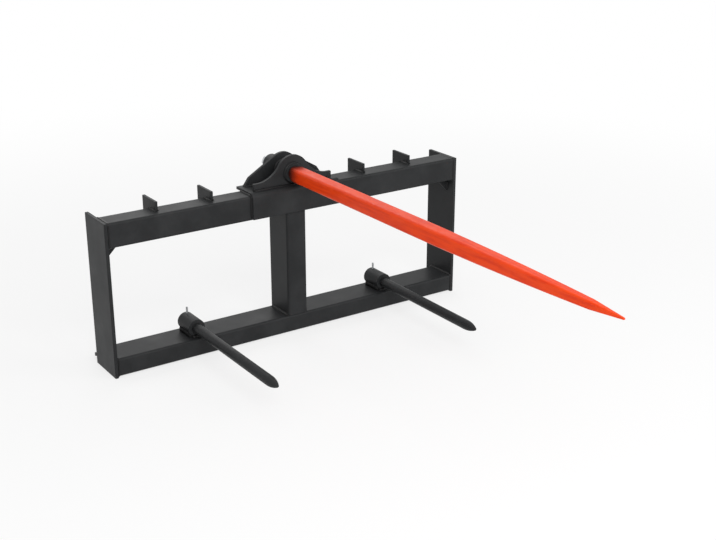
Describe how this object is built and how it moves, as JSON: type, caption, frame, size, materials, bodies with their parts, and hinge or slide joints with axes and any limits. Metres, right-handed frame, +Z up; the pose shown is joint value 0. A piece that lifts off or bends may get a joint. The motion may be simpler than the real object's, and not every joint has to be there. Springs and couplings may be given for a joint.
{
  "type": "bale spear",
  "caption": "Quick-attach loader frame with a long tapered bale spear above its top rail and short round stabiliser spears on its bottom rail.",
  "frame": {"origin": "on the loader-side face of the centre post, on the frame's centre line and halfway up the end plates", "axes": "+X along the frame, to the right as seen from in front of the spears' points; +Y back towards the loader, so the spears point along -Y; +Z up"},
  "size_m": [1.156, 1.431, 0.534],
  "materials": {
    "frame_paint": "semi-gloss black paint",
    "spear_paint": "gloss orange-red paint over forged steel",
    "zinc_plate": "bright zinc plating"
  },
  "bodies": {
    "root": {"top_rail": "frame_paint", "bottom_rail": "frame_paint", "centre_post": "frame_paint", "end_plate_left": "frame_paint", "end_plate_right": "frame_paint", "hook_fin_1": "frame_paint", "hook_fin_2": "frame_paint", "hook_fin_3": "frame_paint", "hook_fin_4": "frame_paint", "hook_lip": "frame_paint", "latch_shelf": "frame_paint", "corner_gusset_left": "frame_paint", "corner_gusset_right": "frame_paint", "spear_saddle": "frame_paint", "bell_plate": "frame_paint", "rear_plate": "frame_paint", "spear_sleeve": "frame_paint", "main_spear": "spear_paint", "spear_washer": "zinc_plate", "spear_nut": "zinc_plate", "stabilizer_sleeve_left": "frame_paint", "stabilizer_sleeve_right": "frame_paint", "stabilizer_spear_left": "frame_paint", "stabilizer_spear_right": "frame_paint", "stabilizer_pin_left": "zinc_plate", "stabilizer_pin_right": "zinc_plate"}
  },
  "joints": []
}
